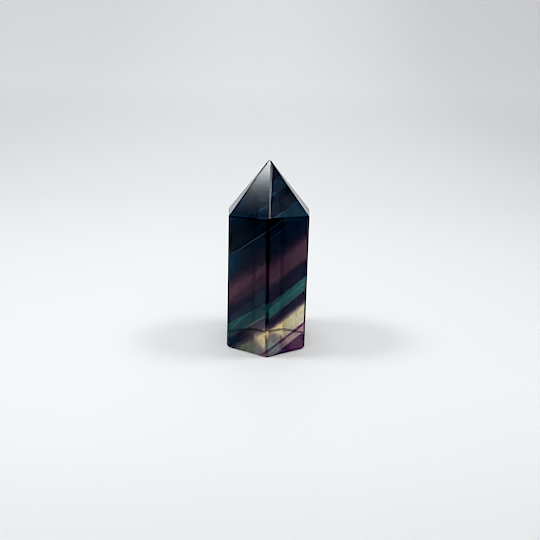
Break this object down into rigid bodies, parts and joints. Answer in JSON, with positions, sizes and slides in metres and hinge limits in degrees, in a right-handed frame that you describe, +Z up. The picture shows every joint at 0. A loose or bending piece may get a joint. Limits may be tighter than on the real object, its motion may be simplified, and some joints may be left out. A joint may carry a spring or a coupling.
{
  "type": "fluorite point",
  "caption": "Free-standing six-sided crystal tower of polished banded fluorite, ground to a faceted point on a flat foot.",
  "frame": {"origin": "middle of the flat foot that the point stands on", "axes": "+Z up through the tip; -Y is the front, where the edge between the two front faces looks at the viewer"},
  "size_m": [0.0262, 0.0288, 0.0597],
  "materials": {
    "fluorite": "polished, see-through, banded in deep blue, plum, sea green and honey"
  },
  "bodies": {
    "root": {"fluorite_point": "fluorite"}
  },
  "joints": []
}
